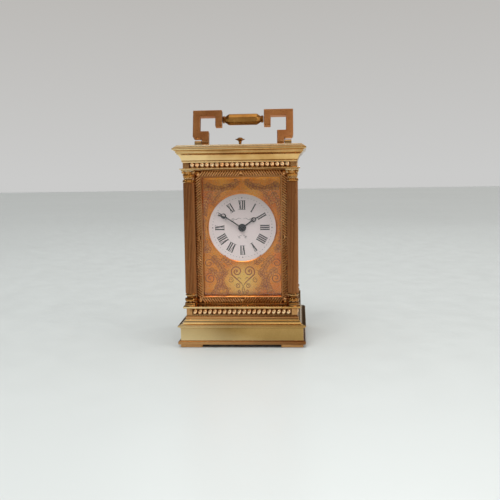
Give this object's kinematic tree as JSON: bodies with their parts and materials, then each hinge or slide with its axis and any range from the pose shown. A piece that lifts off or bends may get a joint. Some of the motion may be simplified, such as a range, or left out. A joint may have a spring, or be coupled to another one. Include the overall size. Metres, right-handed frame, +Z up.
{
  "type": "carriage clock",
  "caption": "Glazed brass carriage clock with corner columns, beaded friezes, folding key-pattern handle, white dial, rear door, repeat button and striking movement.",
  "frame": {"origin": "centre of the footprint, on the surface the feet stand on", "axes": "+X to the right seen from the dial side, +Y to the rear door (the dial faces -Y), +Z up"},
  "size_m": [0.0944, 0.0844, 0.173],
  "materials": {
    "polished_brass": "polished and lacquered",
    "satin_brass": "satin, warm reddish tone",
    "engraved_brass": "gilt, hand engraved",
    "movement_brass": "brushed and lacquered",
    "steel": "fine brushed",
    "blued_steel": "blued nearly black",
    "clear_glass": "clear, edges ground to a bevel",
    "enamel": "glossy white enamel on copper"
  },
  "bodies": {
    "case": {"back_frame": "polished_brass", "back_plate": "movement_brass", "base_plate": "movement_brass", "capital_back_left": "polished_brass", "capital_back_right": "polished_brass", "capital_front_left": "polished_brass", "capital_front_right": "polished_brass", "column_base_back_left": "polished_brass", "column_base_back_right": "polished_brass", "column_base_front_left": "polished_brass", "column_base_front_right": "polished_brass", "column_shaft_back_left": "satin_brass", "column_shaft_back_right": "satin_brass", "column_shaft_front_left": "satin_brass", "column_shaft_front_right": "satin_brass", "cornice": "polished_brass", "dial": "enamel", "front_glass": "clear_glass", "front_plate": "movement_brass", "gong": "steel", "gong_block": "movement_brass", "handle_post_left": "polished_brass", "handle_post_right": "polished_brass", "left_glass": "clear_glass", "lower_frieze": "polished_brass", "mask": "engraved_brass", "platform": "movement_brass", "plinth": "polished_brass", "right_glass": "clear_glass", "rope_frame": "satin_brass", "side_frame_left": "satin_brass", "side_frame_right": "satin_brass", "top_glass": "clear_glass", "upper_frieze": "polished_brass"},
    "handle": {"handle_grip": "polished_brass", "handle_arm_left": "satin_brass", "handle_arm_right": "satin_brass"},
    "button": {"repeat_button": "polished_brass"},
    "repeat_rocker": {"repeat_lever": "steel"},
    "door": {"door_frame": "polished_brass", "door_glass": "clear_glass", "door_knob": "polished_brass"},
    "centre": {"centre_wheel": "movement_brass", "minute_hand": "blued_steel"},
    "hour": {"hour_wheel": "movement_brass", "hour_hand": "blued_steel"},
    "minute_work": {"minute_wheel": "movement_brass"},
    "going_spring_barrel": {"going_barrel": "movement_brass"},
    "intermediate": {"intermediate_wheel": "movement_brass"},
    "third": {"third_wheel": "movement_brass"},
    "contrate": {"contrate_wheel": "movement_brass"},
    "escape": {"escape_wheel": "movement_brass"},
    "pallets": {"pallet_lever": "steel"},
    "balance": {"balance_wheel": "movement_brass", "hairspring": "blued_steel"},
    "strike_spring_barrel": {"strike_barrel": "movement_brass"},
    "strike_second": {"strike_second_wheel": "movement_brass"},
    "strike_third": {"strike_third_wheel": "movement_brass"},
    "fly_fan": {"fly": "movement_brass"},
    "gong_hammer": {"hammer": "steel"}
  },
  "joints": [
    {"name": "handle_fold", "type": "hinge", "parent": "case", "child": "handle", "pos_m": [0, 0, 0.1483], "axis": [1, 0, 0], "range_deg": [-63, 93]},
    {"name": "button_press", "type": "slide", "parent": "case", "child": "button", "axis": [0, 0, -1], "range_m": [0, 0.0014], "stiffness_N_per_m": 300, "springref_m": -0.0012},
    {"name": "repeat_rock", "type": "hinge", "parent": "case", "child": "repeat_rocker", "pos_m": [0.014, -0.0153, 0.11], "axis": [0, -1, 0], "range_deg": [0, 6]},
    {"name": "door_swing", "type": "hinge", "parent": "case", "child": "door", "pos_m": [0.0312, 0.0274, 0.0786], "axis": [0, 0, -1], "range_deg": [0, 95]},
    {"name": "minute_turn", "type": "hinge", "parent": "case", "child": "centre", "pos_m": [0, 0, 0.0851], "axis": [0, 1, 0], "continuous": true},
    {"name": "hour_turn", "type": "hinge", "parent": "case", "child": "hour", "pos_m": [0, 0, 0.0851], "axis": [0, 1, 0], "continuous": true},
    {"name": "minute_wheel_turn", "type": "hinge", "parent": "case", "child": "minute_work", "pos_m": [0.0054, 0, 0.08034], "axis": [0, 1, 0], "continuous": true},
    {"name": "going_barrel_turn", "type": "hinge", "parent": "case", "child": "going_spring_barrel", "pos_m": [-0.013, 0, 0.06318], "axis": [0, 1, 0], "continuous": true},
    {"name": "intermediate_turn", "type": "hinge", "parent": "case", "child": "intermediate", "pos_m": [-0.0034, 0, 0.07384], "axis": [0, 1, 0], "continuous": true},
    {"name": "third_turn", "type": "hinge", "parent": "case", "child": "third", "pos_m": [-0.0062, 0, 0.09375], "axis": [0, 1, 0], "continuous": true},
    {"name": "contrate_turn", "type": "hinge", "parent": "case", "child": "contrate", "pos_m": [0, 0, 0.10169], "axis": [0, 1, 0], "continuous": true},
    {"name": "escape_turn", "type": "hinge", "parent": "case", "child": "escape", "pos_m": [0, 0.0079, 0.1171], "axis": [0, 0, 1], "continuous": true},
    {"name": "pallet_rock", "type": "hinge", "parent": "case", "child": "pallets", "pos_m": [0, 0.0024, 0.1185], "axis": [0, 0, 1], "range_deg": [-6, 6]},
    {"name": "balance_swing", "type": "hinge", "parent": "case", "child": "balance", "pos_m": [0, -0.004, 0.1214], "axis": [0, 0, 1], "range_deg": [-270, 270], "stiffness_Nm_per_rad": 0.0000015, "deforming": ["hairspring"]},
    {"name": "strike_second_turn", "type": "hinge", "parent": "case", "child": "strike_second", "pos_m": [0.0176, 0, 0.07677], "axis": [0, 1, 0], "continuous": true},
    {"name": "strike_barrel_turn", "type": "hinge", "parent": "case", "child": "strike_spring_barrel", "pos_m": [0.013, 0, 0.06318], "axis": [0, 1, 0], "continuous": true},
    {"name": "strike_third_turn", "type": "hinge", "parent": "case", "child": "strike_third", "pos_m": [0.0136, 0, 0.0836], "axis": [0, 1, 0], "continuous": true},
    {"name": "fly_turn", "type": "hinge", "parent": "case", "child": "fly_fan", "pos_m": [0.0166, 0, 0.08997], "axis": [0, 1, 0], "continuous": true},
    {"name": "hammer_lift", "type": "hinge", "parent": "case", "child": "gong_hammer", "pos_m": [0.0225, 0, 0.042], "axis": [0, 1, 0], "range_deg": [0, 9], "stiffness_Nm_per_rad": 0.0006, "springref_deg": -22.92}
  ],
  "couplings": [
    {"joint": "hour_turn", "follows": "minute_turn", "ratio": 0.083333},
    {"joint": "minute_wheel_turn", "follows": "minute_turn", "ratio": -0.33333},
    {"joint": "intermediate_turn", "follows": "minute_turn", "ratio": -0.16667},
    {"joint": "going_barrel_turn", "follows": "minute_turn", "ratio": 0.027778},
    {"joint": "third_turn", "follows": "minute_turn", "ratio": -6},
    {"joint": "contrate_turn", "follows": "minute_turn", "ratio": 36},
    {"joint": "strike_barrel_turn", "follows": "strike_second_turn", "ratio": -0.16667},
    {"joint": "strike_third_turn", "follows": "strike_second_turn", "ratio": -5},
    {"joint": "fly_turn", "follows": "strike_second_turn", "ratio": 22.5},
    {"joint": "repeat_rock", "follows": "button_press", "rad_per_m": 71.429}
  ]
}
